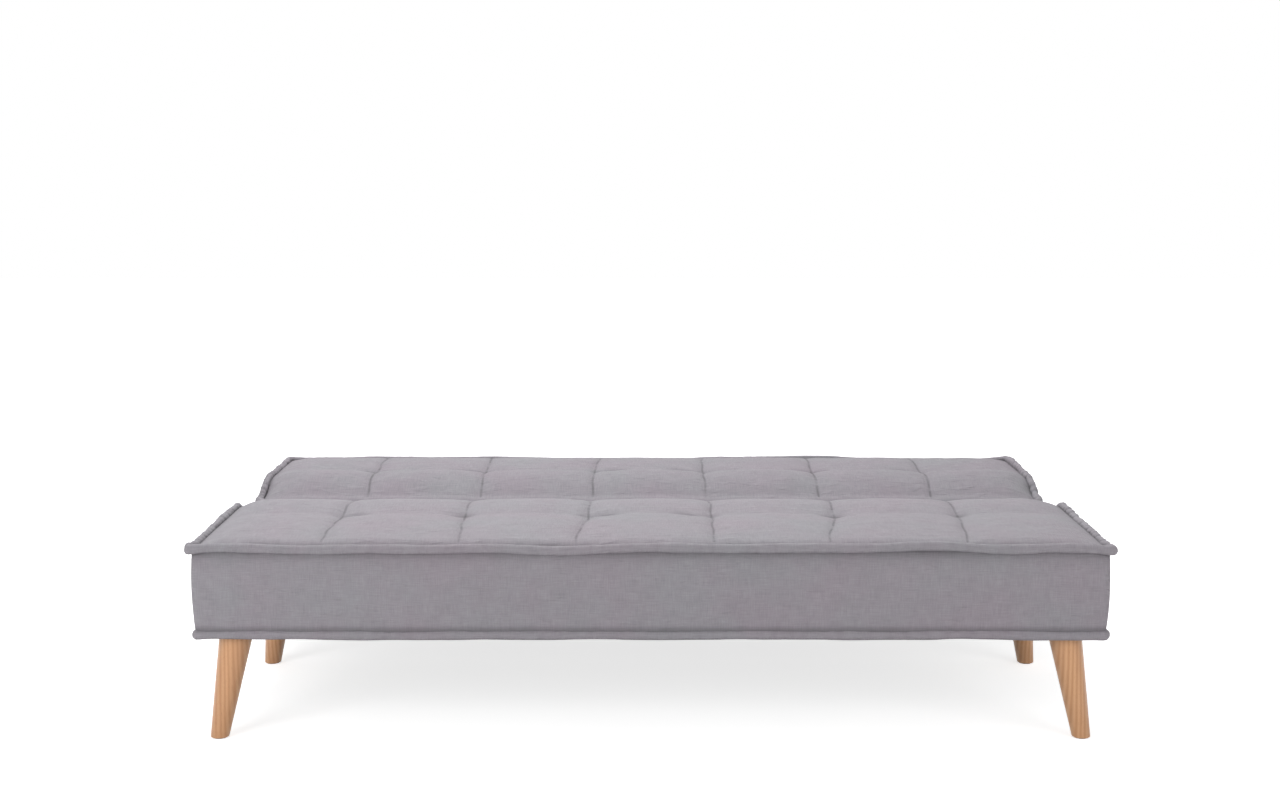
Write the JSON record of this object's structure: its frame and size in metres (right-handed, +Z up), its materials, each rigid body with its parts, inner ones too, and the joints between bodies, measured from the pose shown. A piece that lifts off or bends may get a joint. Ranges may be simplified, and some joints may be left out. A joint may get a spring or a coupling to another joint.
{
  "type": "click clack sofa bed",
  "caption": "Sofa bed lying flat: a tufted seat box on four splayed legs with a tufted back box hinged behind it on ratchet plates.",
  "frame": {"origin": "on the floor below the middle of the opened bed", "axes": "+X along the length, +Y towards the back cushion's far edge, +Z up; the front faces -Y"},
  "size_m": [1.8, 1, 0.4074],
  "materials": {
    "cover_cloth": "slubby woven linen-look cloth, mid grey, matt",
    "band_cloth": "the same woven cloth, stretched flat round the sides",
    "roll_cloth": "the same woven cloth, wrapped round a stuffed cord",
    "dust_cloth": "black non-woven dust cloth",
    "foam": "cut polyurethane foam",
    "felt": "needled fibre pad",
    "twine": "waxed tufting twine",
    "frame_timber": "planed pine, bare",
    "leg_wood": "turned beech, warm brown satin lacquer",
    "glide_plastic": "black moulded glide",
    "spring_wire": "hard drawn spring wire",
    "clip_steel": "pressed sheet steel",
    "plate_steel": "black powder coat",
    "zinc_steel": "bright zinc plate"
  },
  "bodies": {
    "seat": {"seat_cover": "cover_cloth", "seat_outer_band": "band_cloth", "seat_side_bands": "band_cloth", "seat_hinge_band": "band_cloth", "seat_top_roll": "roll_cloth", "seat_bottom_roll": "roll_cloth", "seat_dust_cover": "dust_cloth", "seat_foam": "foam", "seat_spring_pad": "felt", "seat_tuft_ties": "twine", "seat_hinge_rail": "frame_timber", "seat_outer_rail": "frame_timber", "seat_end_rails": "frame_timber", "seat_cross_bearers": "frame_timber", "seat_corner_blocks": "frame_timber", "front_left_leg": "leg_wood", "front_right_leg": "leg_wood", "rear_left_leg": "leg_wood", "rear_right_leg": "leg_wood", "leg_glides": "glide_plastic", "seat_springs": "spring_wire", "left_pawl_spring": "spring_wire", "right_pawl_spring": "spring_wire", "seat_spring_clips": "clip_steel", "left_seat_arm": "plate_steel", "right_seat_arm": "plate_steel", "left_keeper_plate": "plate_steel", "right_keeper_plate": "plate_steel", "left_pivot_pin": "zinc_steel", "right_pivot_pin": "zinc_steel", "left_pawl_pin": "zinc_steel", "right_pawl_pin": "zinc_steel", "seat_hinge_bolts": "zinc_steel", "seat_hinge_nuts": "zinc_steel", "leg_bolts": "zinc_steel", "leg_inserts": "zinc_steel"},
    "back": {"back_cover": "cover_cloth", "back_outer_band": "band_cloth", "back_side_bands": "band_cloth", "back_hinge_band": "band_cloth", "back_top_roll": "roll_cloth", "back_bottom_roll": "roll_cloth", "back_dust_cover": "dust_cloth", "back_foam": "foam", "back_spring_pad": "felt", "back_tuft_ties": "twine", "back_hinge_rail": "frame_timber", "back_outer_rail": "frame_timber", "back_end_rails": "frame_timber", "back_cross_bearers": "frame_timber", "back_corner_blocks": "frame_timber", "back_springs": "spring_wire", "back_spring_clips": "clip_steel", "back_hinge_bolts": "zinc_steel", "back_hinge_nuts": "zinc_steel", "left_back_arm": "plate_steel", "right_back_arm": "plate_steel"},
    "left_pawl": {"left_pawl": "plate_steel"},
    "right_pawl": {"right_pawl": "plate_steel"}
  },
  "joints": [
    {"name": "back_fold", "type": "hinge", "parent": "seat", "child": "back", "pos_m": [0, 0.07, 0.356], "axis": [1, 0, 0], "range_deg": [0, 80]},
    {"name": "left_pawl_lift", "type": "hinge", "parent": "seat", "child": "left_pawl", "pos_m": [-0.8765, 0.032, 0.296], "axis": [1, 0, 0], "range_deg": [0, 9]},
    {"name": "right_pawl_lift", "type": "hinge", "parent": "seat", "child": "right_pawl", "pos_m": [0.8765, 0.032, 0.296], "axis": [1, 0, 0], "range_deg": [0, 9]}
  ]
}
